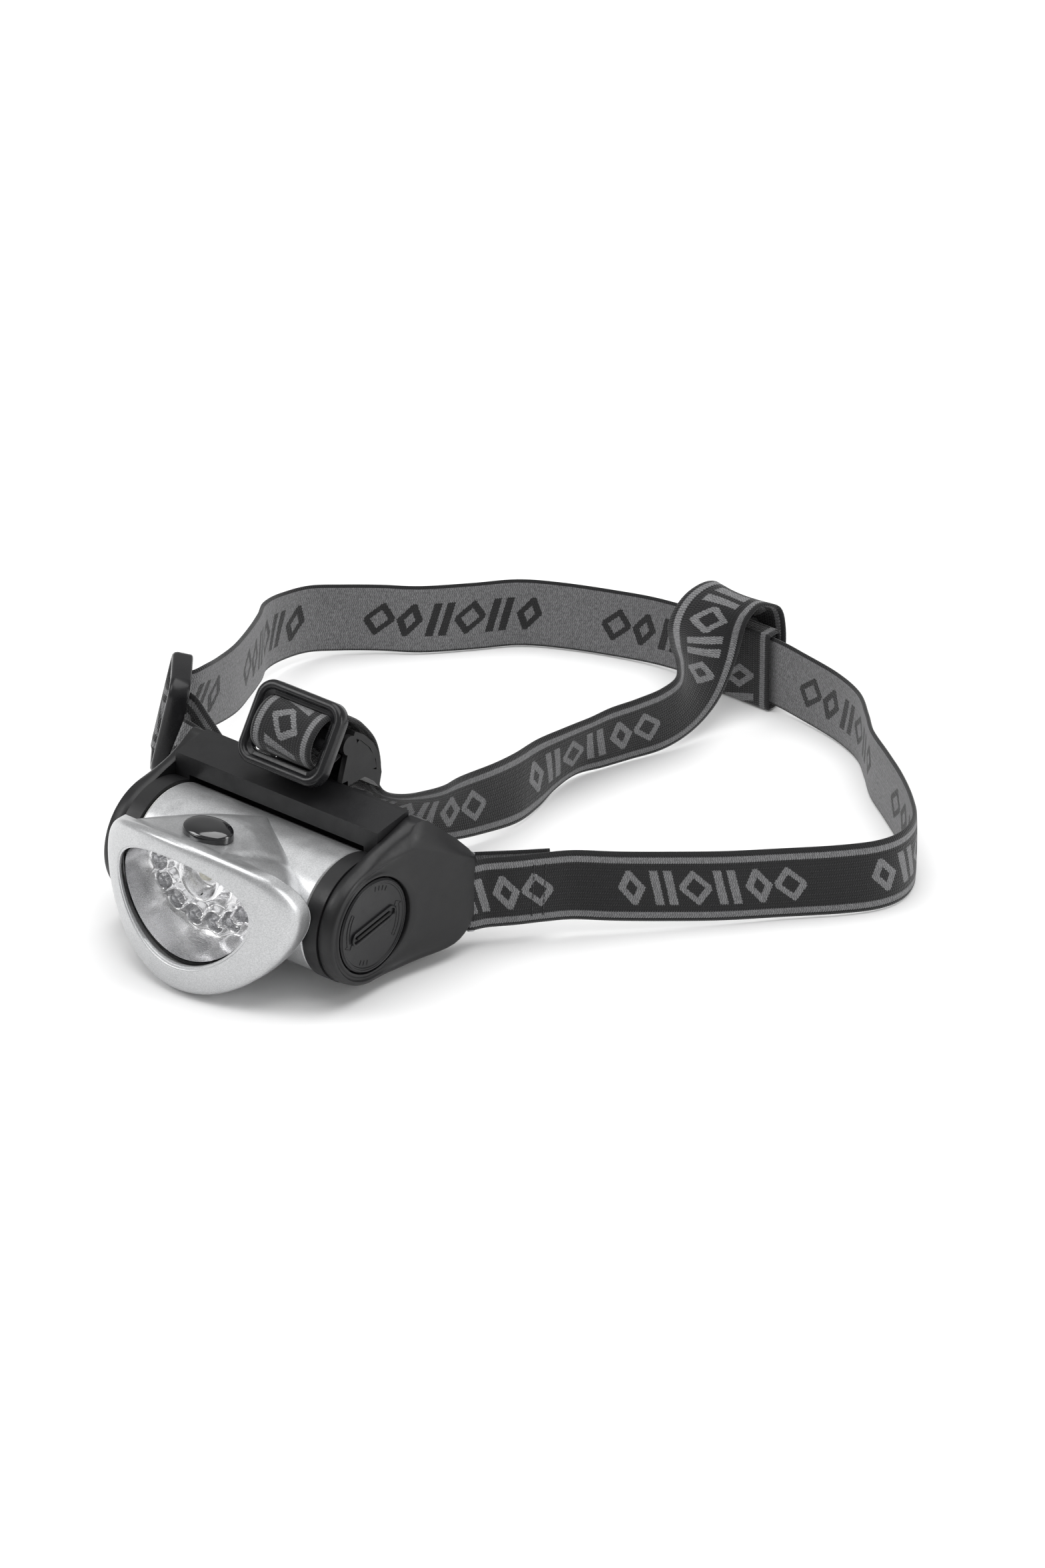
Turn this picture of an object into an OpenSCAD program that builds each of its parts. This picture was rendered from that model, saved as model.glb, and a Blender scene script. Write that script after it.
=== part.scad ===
// Headlamp: a tilting silver lamp head in a black forehead bracket, worn on two elastic straps.
// The lamp looks towards -Y. The tilt axis runs along X. The part stands on the plane z = 0.

/* [Lamp head] */
// Height of the tilt axis above the table
axis_z = 19.6; // [19.6:0.1:20.4]
// Outer radius of the silver barrel
barrel_r = 16.2; // [15.8:0.1:16.3]
// Half length of the silver barrel
barrel_half = 28.6; // [28:0.1:28.8]
// Half width of the bezel
bezel_hw = 31; // [30:0.5:31.5]
// Half height of the bezel
bezel_hh = 22.2; // [21.6:0.1:22.3]
// Half width of the window
window_hw = 21.3; // [20.6:0.1:21.6]
// Half height of the window
window_hh = 15; // [14.6:0.1:15.2]
// Wall thickness of the moulded shells
shell_t = 1.5; // [1.3:0.1:1.7]

/* [Light] */
// Diameter of one small diode
led_d = 4.8; // [4.4:0.1:4.9]
// Number of small diodes
led_count = 8; // [6:1:8]
// Radius of the cup round the main light source
main_cup_r = 5.6; // [5:0.1:5.8]

/* [Power] */
// Diameter of one size AAA cell
cell_d = 10.4; // [10:0.1:10.5]
// Length of one size AAA cell
cell_len = 44.5; // [43:0.5:45]
// Radius of the battery cap
cap_r = 12.5; // [12.3:0.1:12.5]
// Travel of the push button
button_travel = 0.8; // [0.4:0.1:0.8]

/* [Bracket] */
// Radius of the arms round the trunnions
arm_r = 16.6; // [16.4:0.1:16.8]
// Inner faces of the two arms, from the middle
arm_in = 29.3; // [29.3:0.1:29.5]
// Thickness of each arm
arm_t = 4.6; // [4.2:0.1:4.8]
// Radius of the forehead curve
forehead_r = 70; // [66:1:80]
// Thickness of the foam pad
pad_t = 4; // [3:0.5:4.5]

/* [Straps] */
// Width of the elastic webbing
strap_w = 20; // [19.5:0.1:20]
// Thickness of the elastic webbing
strap_t = 1.3; // [1.1:0.1:1.4]

/* [Hidden] */

$fn = 64;
middle = [7.3, 78.2, 0];              // middle of the whole part's footprint, seen from the lamp axis
fit = 0.1;                        // running clearance of the trunnions, on the radius
trunnion_r = cap_r + 0.2;
bore_r = trunnion_r + fit;
cavity_r = 11.7;                  // inside of the battery tube
tube_r = cavity_r + 1.1;
arm_out = arm_in + arm_t;         // outer face of the arms
cap_x = 36.8;                     // back of the cap's visible disc
face_y = -33;                     // front of the window rim on the middle plane
seam_y = -23.2;                   // seam between bezel and housing on the middle plane
face_curve = 100;                 // twice the radius of the curved face
seam_curve = 165;                 // twice the radius of the curved seam
bezel_z = 0.25 + bezel_hh;        // middle height of the bezel
window_z = bezel_z + 1.4;         // middle height of the window
fullness = 0.19;                  // how much broader the outline is above its middle
outline_n = 48;
forehead_y = 20;                  // rear face of the bracket on the middle plane
button_y = -18.4;
button_z = 39.9;                  // underside of the push button
board_y = -16.4;                  // front face of the circuit board
floor_y = -17.8;                  // back of the reflector
pin_x = 40.3;                     // vertical strap pins
pin_y = 35.2;
pin_r = 1.2;
crown_buckle_at = [0, 14, 55.1];
crown_buckle_lean = 32.6;         // degrees from the vertical
side_buckle_at = [-68, 43.2, 25.8];
buckle_len = 27;
buckle_h = 21;
buckle_t = 3;
led_arc = [15.2, 12.4];           // half axes of the arc of small diodes
led_arc_z = window_z + 4.8;
main_led_z = window_z + 5.2;

// ---------- placing and general shapes ----------

module place() {
    translate(-middle) children();
}

// Turns a drawing in y and z into a plate that starts at x0 and runs along +X.
module along_x(x0, length) {
    translate([x0, 0, 0]) rotate([90, 0, 90]) linear_extrude(length) children();
}

// A cylinder on the tilt axis.
module axle(x0, length, r) {
    translate([x0, 0, axis_z]) rotate([0, 90, 0]) cylinder(h = length, r = r);
}

// A cylinder along Y at the given x and z.
module rod_y(at, length, r) {
    translate(at) rotate([-90, 0, 0]) cylinder(h = length, r = r);
}

// Closed skin over a list of rings that all have the same number of points.
// With wrap = true the last ring joins the first, otherwise both ends are capped.
module skin(rings, wrap = false) {
    n = len(rings[0]);
    m = len(rings);
    last = wrap ? m - 1 : m - 2;
    sides = [for (k = [0:last], i = [0:n - 1])
                let (a = k * n + i, b = k * n + (i + 1) % n,
                     c = ((k + 1) % m) * n + (i + 1) % n, d = ((k + 1) % m) * n + i)
                each [[a, b, c], [a, c, d]]];
    caps = wrap ? [] : [[for (i = [n - 1:-1:0]) i], [for (i = [0:n - 1]) (m - 1) * n + i]];
    polyhedron(points = [for (r = rings) each r], faces = concat(sides, caps));
}

// One point of the lamp face. s goes from the outer outline (0) to the window (1), and shrink
// scales the outline to fill the window. g goes from the front face (0) to the seam (1).
function face_x(s, t, shrink = 1) =
    shrink * (bezel_hw + s * (window_hw - bezel_hw)) * cos(t) * (1 + fullness * sin(t));
function face_z(s, t, shrink = 1) =
    bezel_z + s * (window_z - bezel_z) + shrink * (bezel_hh + s * (window_hh - bezel_hh)) * sin(t);
function face_depth(x, g) =
    face_y + x * x / face_curve + g * (seam_y - face_y + x * x / seam_curve - x * x / face_curve);
function face_ring(s, g, shrink = 1) =
    [for (i = [0:outline_n - 1])
        let (t = 360 * i / outline_n, x = face_x(s, t, shrink)) [x, face_depth(x, g), face_z(s, t, shrink)]];

// One ring of the housing behind the seam. q goes from the seam (0) to the top of the barrel (1).
function throat_ring(q, inset, top_inset) =
    let (hw = (q < 0.02 ? bezel_hw : 28.7 * sqrt(1 - q * q)) - inset,
         top = 2 * bezel_hh + 0.1 - 9 * pow(max(q, 0), 1.1) - top_inset,
         low = 0.35 + 4.4 * q + inset,
         y = seam_y + 0.15 + 26.5 * q)
    [for (i = [0:outline_n - 1])
        let (t = 360 * i / outline_n, x = hw * cos(t) * (1 + fullness * (1 - q) * sin(t)))
        [x, y + x * x / seam_curve * (1 - q), (top + low) / 2 + (top - low) / 2 * sin(t)]];

// Elastic webbing along a path. Each step is [point, width direction].
function unit(v) = v / norm(v);
function ribbon_ring(path, i, t, w) =
    let (a = path[max(i - 1, 0)][0], b = path[min(i + 1, len(path) - 1)][0],
         c = path[i][0], across = unit(path[i][1]), out = unit(cross(unit(b - a), across)))
    [c - across * w / 2 - out * t / 2, c + across * w / 2 - out * t / 2,
     c + across * w / 2 + out * t / 2, c - across * w / 2 + out * t / 2];

module ribbon(path, t = strap_t, w = strap_w) {
    skin([for (i = [0:len(path) - 1]) ribbon_ring(path, i, t, w)]);
}

module rounded_rect(size, r) {
    hull() {
        for (x = [-1, 1], y = [-1, 1])
            translate([x * (size[0] / 2 - r), y * (size[1] / 2 - r)]) circle(r = r, $fn = 32);
    }
}

// Slide buckle with two windows and a bar between them, centred, lying in x and y.
module tri_glide() {
    window_h = (buckle_h - 9) / 2;
    translate([0, 0, -buckle_t / 2]) linear_extrude(buckle_t) difference() {
        rounded_rect([buckle_len, buckle_h], 4.5);
        for (side = [-1, 1])
            translate([0, side * (window_h / 2 + 1.4)])
                rounded_rect([strap_w + 1, window_h], 1.2);
    }
}

// ---------- bracket ----------

module arm_outline() {
    translate([0, axis_z]) circle(r = arm_r);
    polygon([[0, axis_z - arm_r], [24, 4.4], [28, 7], [30, 14], [29.8, 24], [27.5, 33], [21, 41.6],
             [7, 41.2], [7, 33], [0, 33]]);
}

module bracket() {
    color("#1d1d1f") place() difference() {
        union() {
            for (x0 = [arm_in, -arm_out]) along_x(x0, arm_t) arm_outline();
            translate([-arm_in - 1, 7, 36]) cube([2 * arm_in + 2, 2.2, 5.2]);
            hull() {
                translate([-arm_out, 7, 39.4]) cube([2 * arm_out, 1, 1.8]);
                translate([-arm_out, 18, 40.8]) cube([2 * arm_out, 1, 2]);
            }
            intersection() {
                translate([0, forehead_y + forehead_r, 4.6]) difference() {
                    cylinder(h = 36.6, r = forehead_r + 2, $fn = 200);
                    translate([0, 0, -1]) cylinder(h = 40, r = forehead_r, $fn = 200);
                }
                translate([-arm_out, 10, 0]) cube([2 * arm_out, 25, 50]);
            }
        }
        for (x0 = [arm_in - 1, -arm_out - 1]) axle(x0, arm_t + 2, bore_r);
        for (side = [-1, 1], at = screw_places)
            translate([side * (arm_in + arm_t / 2), at[0], at[1]]) rotate([0, 90, 0])
                cylinder(h = arm_t + 2, r = 1, center = true);
    }
}

screw_places = [[20, 35], [14.6, 7.2]];

// Half of the teardrop cover, drawn for the right side and mirrored for the left.
module cheek_cover() {
    difference() {
        hull() {
            axle(arm_out + 0.02, 3.4, 16.3, $fn = 32);
            axle(arm_out + 3.4, 1.2, 14.8, $fn = 32);
            translate([arm_out + 0.02, 25.4, 14.9]) rotate([0, 90, 0]) cylinder(h = 6.6, r = 11.6, $fn = 32);
            translate([arm_out + 6.6, 25.4, 14.9]) rotate([0, 90, 0]) cylinder(h = 1.4, r = 10, $fn = 32);
            translate([arm_out + 0.02, 18.5, 38.5]) rotate([0, 90, 0]) cylinder(h = 1.4, r = 3.4, $fn = 32);
            translate([arm_out + 4.4, 33.4, 25.4]) rotate([0, 90, 0]) cylinder(h = 2.2, r = 2.6, $fn = 32);
        }
        axle(arm_out - 1, 12, cap_r + 0.4);
        // groove for the click spring, pocket behind the face, slot for the strap
        translate([arm_out - 1, -7.2, axis_z - 13.3]) cube([3.6, 14.4, 1.2]);
        translate([arm_out - 1, 18, 8]) cube([5.4, 9.5, 18]);
        translate([arm_out - 1, 30.6, 4.7]) cube([12, 9, 20.6]);
        for (at = screw_places)
            translate([arm_out - 1, at[0], at[1]]) rotate([0, 90, 0]) cylinder(h = 2.9, r = 1);
        translate([pin_x, pin_y, 2]) cylinder(h = 26, r = pin_r);
    }
}

module right_cheek_cover() {
    color("#1d1d1f") place() cheek_cover();
}

module left_cheek_cover() {
    color("#1d1d1f") place() mirror([1, 0, 0]) cheek_cover();
}

module strap_pins() {
    color("#8d8f92") place() for (side = [-1, 1])
        translate([side * pin_x, pin_y, 3.9]) cylinder(h = 22, r = pin_r - 0.02);
}

module cheek_screws() {
    color("#b9bbbe") place() for (side = [0, 1], at = screw_places) mirror([side, 0, 0])
        translate([arm_in - 0.3, at[0], at[1]]) rotate([0, 90, 0]) {
            cylinder(h = 6.2, r = 0.95);
            cylinder(h = 0.28, r = 1.9);
        }
}

// Curved strap guide with two side webs, standing behind the top plate.
crown_arc = [[21, 41.3], [27.5, 41.3], [31, 38.6], [33, 36], [34, 40], [33.4, 45], [31, 49.6], [27.4, 53.4],
             [24, 55.6], [23.2, 54.2], [26.2, 52.2], [29.6, 48.7], [31.8, 44.5], [32, 41.6], [28.5, 43.2],
             [21, 43]];

module crown_post() {
    color("#202022") place() {
        along_x(-12, 24) polygon(crown_arc);
        for (x0 = [-12, 10.4]) along_x(x0, 1.6) {
            polygon([[18.6, 42.9], [32, 42.2], [31.4, 45.5], [29, 49.2], [25.6, 52.6], [21, 50]]);
            translate([22, 52.4]) circle(r = 2.6);
        }
        translate([-12, 22, 52.4]) rotate([0, 90, 0]) cylinder(h = 24, r = 1.6);
    }
}

// Spring steel leaf that bears on the left trunnion and gives the tilt its clicks.
module click_spring() {
    color("#c5c7ca") place() translate([-arm_out - 2.4, -7, axis_z - 13.1]) cube([1.8, 14, 0.35]);
}

module forehead_pad() {
    color("#2b2b2d") place() intersection() {
        translate([0, forehead_y + forehead_r, 6]) difference() {
            cylinder(h = 28, r = forehead_r - 0.05, $fn = 200);
            translate([0, 0, -1]) cylinder(h = 30, r = forehead_r - pad_t, $fn = 200);
        }
        translate([-29, 10, 0]) cube([58, 30, 50]);
    }
}

// ---------- straps and buckles ----------

module crown_buckle() {
    color("#1b1b1d") place() translate(crown_buckle_at) rotate([90 - crown_buckle_lean, 0, 0]) tri_glide();
}

module side_buckle() {
    color("#1b1b1d") place() translate(side_buckle_at) rotate([0, 0, -50]) rotate([77, 0, 0])
        rotate([0, 0, 90]) tri_glide();
}

up = [0, 0, 1];
side_lean = [0.18, 0.15, 0];

// Main strap, counted from the sewn end at the right cheek round the back to the left cheek:
// x and y of the middle line, height of the bottom edge, and how much it leans with the side buckle.
main_route = [[52.2, 51.8, 4.6], [47.4, 46.2, 4.8], [42.6, 41, 5], [39, 37.4, 5], [37.9, 35.4, 5],
    [38.6, 33.5, 5], [40.3, 32.9, 5], [42.1, 33.6, 5], [44, 37.2, 5], [48.8, 43.4, 4.8], [52.6, 49.4, 4.5],
    [57, 56, 4], [64, 63.4, 3], [73, 73, 2], [83, 84, 1], [93, 96, 0.4], [103, 107.4, 0.2], [108.6, 116, 0],
    [110, 124, 0], [107, 132.4, 0], [100, 140, 0], [91, 147.4, 0], [81, 154.4, 0], [70.6, 161.6, 0],
    [63.4, 168.6, 0], [55, 176, 0], [44, 180.8, 0], [30, 183.4, 0.4], [21, 184.1, 1.1], [10, 184.4, 1.1],
    [0, 184.6, 1.1], [-18, 183.6, 0.4], [-32, 180, 0], [-46, 174.4, 0], [-56, 168.4, 0], [-64, 158.6, 0],
    [-73, 148, 0.2], [-81.6, 141, 0.6], [-89, 134, 1], [-94.2, 126, 2], [-95.4, 116.4, 3], [-93, 107.4, 4.6],
    [-88, 99.6, 6], [-82, 89, 8], [-75.6, 76, 10.4], [-71.8, 64, 12.6, 0.3], [-69.5, 55, 15, 0.8],
    [-69.2, 50, 15.6, 1], [-70.8, 46.6, 15.8, 1], [-71, 42.4, 15.8, 1], [-68.6, 39.6, 15.8, 1],
    [-65.2, 39.8, 15.4, 1], [-62.5, 41, 14.6, 0.8], [-57, 40.5, 11.5, 0.4], [-50, 39.6, 7.5],
    [-45, 39.2, 5.6], [-41.4, 38, 5], [-38.2, 36.4, 5], [-38.4, 33.8, 5], [-40.3, 32.9, 5],
    [-42.4, 34, 5], [-46.4, 36.4, 6.6], [-54, 36, 9.6], [-60, 34.6, 12]];

module main_strap() {
    color("#3a3a3c") place() ribbon([for (p = main_route)
        [[p[0], p[1], p[2] + strap_w / 2], up + (len(p) > 3 ? p[3] : 0) * side_lean]]);
}

// Top strap: middle line and width direction, from the crown buckle back over the table
// to the main strap behind.
top_route = [[[0, 20.6, 49.6], [1, 0, 0]], [[0, 17, 49.6], [1, 0, 0]], [[0, 13.6, 50.2], [1, 0, 0]],
    [[0, 10.8, 52.2], [1, 0, 0]], [[0, 9.8, 55], [1, 0, 0]], [[0, 11.4, 57.8], [1, 0, 0]],
    [[0, 15, 59.2], [1, 0, 0]], [[0, 19, 59.2], [1, 0, 0]], [[0, 24, 58.2], [1, 0, 0]],
    [[0, 29.6, 54], [1, 0, 0]], [[0, 34, 48], [1, 0, 0]],
    [[0, 35.8, 41], [1, 0, 0]], [[0, 36, 34], [1, -0.1, 0.2]], [[0.6, 41, 26.6], [1, -0.3, 0.7]],
    [[2.4, 50, 19.6], [0.7, -0.35, 1]], [[5, 61, 14.6], [0.35, -0.2, 1]], [[6.4, 71, 12.4], [0.16, 0.1, 1]],
    [[8, 81, 11.4], [0.05, 0.12, 1]], [[8.6, 91, 10.6], [-0.05, 0.05, 1]], [[7.4, 101, 10.2], [0, 0, 1]],
    [[6.6, 111, 10.1], [0.2, 0, 1]], [[6.8, 120, 10.1], [0.3, -0.1, 1]], [[8.6, 128, 10.1], [0.2, -0.1, 1]],
    [[11, 136, 10.2], [0.2, 0, 1]], [[13.6, 145, 10.6], [0.1, -0.1, 1]], [[14.4, 153, 12.2], [0, -0.3, 1]],
    [[12.4, 160.4, 15.4], [-0.3, -0.6, 0.9]], [[8.6, 167.4, 19.6], [-0.7, -0.6, 0.6]],
    [[5.4, 173.4, 24.2], [-1, -0.35, 0.3]], [[5, 179, 27.8], [-1, -0.1, 0.1]],
    [[6.6, 184.6, 29], [-1, 0, 0]], [[8.6, 188.4, 26], [-1, 0, 0]], [[10, 188.8, 21], [-1, 0, 0]],
    [[10.4, 188, 12], [-1, 0, 0]], [[10.4, 187.5, 7], [-1, 0, 0]], [[10.4, 187.5, 3], [-1, 0, 0]]];

module top_strap() {
    color("#333335") place() ribbon(top_route);
}

// Sewn loop that holds the top strap on the main strap.
module strap_keeper() {
    color("#333335") place() translate([0.4, 184.2, 0]) difference() {
        translate([0, -2.6, 0]) cube([19.6, 5.2, 22.6]);
        translate([-1, -1.4, 0.9]) cube([22, 2.8, 20.6]);
    }
}

// ---------- lamp head shells ----------

// Everything on the rear side of the housing split.
module rear_half() {
    translate([-40, 6.6, -10]) cube([80, 40, 80]);
}

module barrel_shell() {
    difference() {
        axle(-barrel_half, 2 * barrel_half, barrel_r);
        axle(-barrel_half + shell_t, 2 * (barrel_half - shell_t), barrel_r - shell_t);
        axle(-barrel_half - 1, 2 * barrel_half + 2, tube_r + 0.05);
    }
}

module front_housing() {
    color("#c9cacc") place() difference() {
        union() {
            axle(-barrel_half, 2 * barrel_half, barrel_r);
            skin([for (q = [0, 0.03, 0.1, 0.2, 0.32, 0.45, 0.58, 0.7, 0.81, 0.9, 0.96, 0.985]) throat_ring(q, 0, 0)]);
        }
        rear_half();
        skin([for (q = [-0.3, 0.03, 0.1, 0.2, 0.32, 0.45, 0.58, 0.7]) throat_ring(q, shell_t, 2.9)]);
        axle(-barrel_half + shell_t, 2 * (barrel_half - shell_t), barrel_r - shell_t);
        axle(-barrel_half - 1, 2 * barrel_half + 2, tube_r + 0.05);
        // dish round the push button, and its opening
        translate([0, button_y + 2, 71.6]) sphere(r = 30, $fn = 96);
        translate([0, button_y, 30]) linear_extrude(20) polygon(button_outline(0.2));
    }
}

module rear_housing() {
    color("#c9cacc") place() intersection() {
        barrel_shell();
        translate([-40, 6.65, -10]) cube([80, 40, 80]);
    }
}

// Black tube for the battery carrier. Its ends are the trunnions of the tilt joint.
module battery_tube() {
    color("#232325") place() difference() {
        union() {
            axle(-barrel_half - 0.2, 2 * barrel_half + 0.4, tube_r);
            axle(-36.4, 8, trunnion_r);
            axle(28.4, 8, trunnion_r);
        }
        axle(-27.6, 70, cavity_r);
        axle(-40, 11, cavity_r - 1);
    }
}

module left_pivot_cap() {
    color("#1d1d1f") place() {
        axle(-38.4, 1.9, cap_r);
        axle(-36.6, 4.6, cavity_r - 1.1);
    }
}

module friction_washers() {
    color("#d8d8d4") place() for (x0 = [-barrel_half - 0.5, barrel_half + 0.1]) difference() {
        axle(x0, 0.4, 15.6);
        axle(x0 - 1, 3, trunnion_r + 0.2);
    }
}

module bezel() {
    color("#d6d7d9") place() skin([for (p = [[0, 1], [0, 0.5], [0.03, 0.34], [0.1, 0.2], [0.24, 0.09],
            [0.5, 0.02], [0.86, 0], [0.97, 0.02], [1, 0.06], [1, 0.2], [0.86, 0.2], [0.86, 0.52], [0.12, 0.52],
            [0.08, 0.6], [0.06, 1]]) face_ring(p[0], p[1])], wrap = true);
}

module lens() {
    color([0.9, 0.95, 1, 0.35]) place() skin(concat(
        [for (k = [0.04, 0.3, 0.6, 0.85, 1]) face_ring(0.88, 0.21, k)],
        [for (k = [1, 0.85, 0.6, 0.3, 0.04]) face_ring(0.88, 0.36, k)]));
}

module lens_gasket() {
    color("#101010") place() skin([for (p = [[0.88, 0.365], [0.99, 0.365], [0.99, 0.44], [0.88, 0.44]])
        face_ring(p[0], p[1])], wrap = true);
}

// ---------- light ----------

function led_angle(i) = 2 + i * (176 / (led_count - 1));
function led_at(i) = [led_arc[0] * cos(led_angle(i)), led_arc_z - led_arc[1] * sin(led_angle(i))];

// Bowl ring: k = 0 at the rim under the gasket, k = 1 at the floor, which lies at y = back.
function bowl_ring(k, grow, back) =
    let (hw = window_hw - 2.6 * k + grow, hh = window_hh - 4 * k + grow)
    [for (i = [0:outline_n - 1])
        let (t = 360 * i / outline_n, x = hw * cos(t) * (1 + fullness * sin(t)), rim = face_depth(x, 0.45))
        [x, rim + k * (back - rim), window_z + hh * sin(t)]];

module reflector() {
    color("#e8eaec") place() difference() {
        skin([for (k = [0, 0.5, 1]) bowl_ring(k, 0.2, floor_y)]);
        skin([for (k = [-0.2, 0, 0.5, 1]) bowl_ring(k, -0.8, floor_y - 1.4)]);
        for (i = [0:led_count - 1])
            rod_y([led_at(i)[0], floor_y - 3, led_at(i)[1]], 4, led_d / 2 + 0.1);
        rod_y([0, floor_y - 3, main_led_z], 4, main_cup_r - 2);
    }
}

module led_body(r, length) {
    rod_y([0, board_y - length + r, 0], length - r, r);
    translate([0, board_y - length + r, 0]) sphere(r = r);
}

module small_leds() {
    color("#f2f4ff") place() for (i = [0:led_count - 1])
        translate([led_at(i)[0], -0.02, led_at(i)[1]]) led_body(led_d / 2, 6.4);
}

module main_led() {
    color("#fff6c8") place() translate([0, -0.02, main_led_z]) led_body(3.4, 7.6);
}

module led_board() {
    color("#2f6b3a") place() translate([-19, board_y, window_z - 12]) cube([38, 1.2, 23]);
}

module board_screws() {
    color("#b9bbbe") place() for (side = [-1, 1])
        translate([side * 17, board_y + 1.22, window_z - 10]) rotate([-90, 0, 0]) cylinder(h = 0.8, r = 1.6);
}

// ---------- power ----------

module switch() {
    color("#303033") place() {
        translate([-3, button_y - 2.6, 36.6]) cube([6, 5.4, 2]);
        translate([0, button_y, 38.4]) cylinder(h = 0.6, r = 1.6);
    }
}

function button_outline(grow) = [for (t = [0:10:350]) [(7.3 + grow) * cos(t), (5.2 + grow) * sin(t)]];
function button_ring(k, z) = [for (p = button_outline(0)) [k * p[0], button_y + k * p[1], z]];

module power_button() {
    color("#151515") place() skin([for (p = [[1, 0], [1, 1.5], [0.97, 1.9], [0.88, 2.3], [0.7, 2.65],
            [0.4, 2.9], [0.05, 3]]) button_ring(p[0], button_z + p[1])]);
}

cell_ring = cell_d / sqrt(3) + 0.05;

function cell_at(i) = [cell_ring * cos(90 + 120 * i), cell_ring * sin(90 + 120 * i)];

module battery_carrier() {
    color("#3a3a3e") place() {
        for (x0 = [-25.4, 23.4]) axle(x0, 2, cavity_r - 0.3);
        axle(-24, 48, 0.7);
    }
}

module aaa_cells() {
    color("#b6b8bb") place() for (i = [0:2]) {
        axle_at(cell_at(i), -cell_len / 2, cell_len - 1, cell_d / 2);
        axle_at(cell_at(i), cell_len / 2 - 1.1, 1, 1.9);
    }
}

// A cylinder beside the tilt axis, off by [y, z].
module axle_at(off, x0, length, r) {
    translate([x0, off[0], axis_z + off[1]]) rotate([0, 90, 0]) cylinder(h = length, r = r);
}

// Conical spring that presses the carrier towards the cap.
spring_steps = 48;
function spring_ring(i) =
    let (k = i / spring_steps, a = 360 * 3 * k, r = 7 - 4 * k, x = -27.2 + 1.4 * k)
    [for (j = [0:5]) let (b = 60 * j)
        [x + 0.25 * sin(b), (r + 0.25 * cos(b)) * cos(a), axis_z + (r + 0.25 * cos(b)) * sin(a)]];

module contact_spring() {
    color("#caa64a") place() skin([for (i = [0:spring_steps]) spring_ring(i)]);
}

module lead_wires() {
    color("#a02020") place() for (z = [window_z + 4, window_z + 7])
        translate([4, -14.1, z]) rotate([0, 90, 0]) cylinder(h = 15, r = 0.5, $fn = 24);
}

// Coin slot cap with a plug that closes the battery tube.
module battery_cap() {
    color("#1f1f21") place() difference() {
        union() {
            axle(cap_x, 1.8, cap_r);
            axle(31.4, cap_x - 31.3, cavity_r - 0.12);
        }
        // coin slot, groove for the seal ring, and the hollow of the plug
        translate([cap_x + 0.8, 0, axis_z]) rotate([10, 0, 0]) cube([4, 14, 1.7], center = true);
        difference() {
            axle(33.6, 1.6, 14);
            axle(33, 3, cavity_r - 1.4);
        }
        axle(30, 5.6, 8.6);
    }
}

module cap_gasket() {
    color("#8c1f1f") place() translate([34.4, 0, axis_z]) rotate([0, 90, 0]) rotate_extrude()
        translate([cavity_r - 0.7, 0]) circle(r = 0.62, $fn = 24);
}

module cap_contact() {
    color("#caa64a") place() axle(35, 0.5, 8.3);
}

bracket();
right_cheek_cover();
left_cheek_cover();
strap_pins();
crown_post();
cheek_screws();
click_spring();
forehead_pad();
crown_buckle();
side_buckle();
main_strap();
top_strap();
strap_keeper();
front_housing();
rear_housing();
battery_tube();
left_pivot_cap();
friction_washers();
bezel();
lens();
lens_gasket();
reflector();
main_led();
small_leds();
led_board();
board_screws();
switch();
battery_carrier();
aaa_cells();
contact_spring();
lead_wires();
power_button();
battery_cap();
cap_gasket();
cap_contact();
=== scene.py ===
"""Headlamp: silver lamp head in a black bracket on woven elastic straps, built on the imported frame."""

import math

import bmesh
import bpy
import numpy as np
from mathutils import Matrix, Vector

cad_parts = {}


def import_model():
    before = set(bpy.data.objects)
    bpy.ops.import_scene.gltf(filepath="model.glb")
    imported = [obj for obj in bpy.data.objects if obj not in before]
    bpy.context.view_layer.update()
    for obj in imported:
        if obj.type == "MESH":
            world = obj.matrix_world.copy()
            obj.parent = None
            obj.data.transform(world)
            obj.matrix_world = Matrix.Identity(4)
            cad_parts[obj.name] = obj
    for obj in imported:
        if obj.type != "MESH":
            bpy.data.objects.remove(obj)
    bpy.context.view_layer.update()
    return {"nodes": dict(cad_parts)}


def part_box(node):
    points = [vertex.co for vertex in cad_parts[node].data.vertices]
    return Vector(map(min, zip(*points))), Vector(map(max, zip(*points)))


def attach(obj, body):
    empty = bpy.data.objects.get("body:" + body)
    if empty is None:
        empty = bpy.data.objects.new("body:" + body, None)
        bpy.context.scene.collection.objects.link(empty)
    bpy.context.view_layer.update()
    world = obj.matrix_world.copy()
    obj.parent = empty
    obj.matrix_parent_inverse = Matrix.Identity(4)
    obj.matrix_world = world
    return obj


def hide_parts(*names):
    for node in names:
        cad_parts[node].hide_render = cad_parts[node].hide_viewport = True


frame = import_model()

# ---------------------------------------------------------------- placing
# Sizes below are millimetres with the tilt axis at x = 0, y = 0, z = 19.6, the lamp looking to -Y.
AXIS_Z = 19.6
BUTTON_Y = -18.4
BUTTON_Z = 39.9
LED_COUNT = 8
STUDIO_STRENGTH = 0.36
_lo, _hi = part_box("battery_tube")
SHIFT = np.array([(_lo[i] + _hi[i]) * 500 for i in range(3)]) - np.array([0, 0, AXIS_Z])


def world(points):
    """Millimetres from the lamp to metres in the row frame."""
    return (np.asarray(points, float) + SHIFT) / 1000


# ---------------------------------------------------------------- node material helpers
def new_material(name):
    m = bpy.data.materials.new(name)
    m.use_nodes = True
    return m, m.node_tree.nodes, m.node_tree.links, m.node_tree.nodes["Principled BSDF"]


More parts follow.
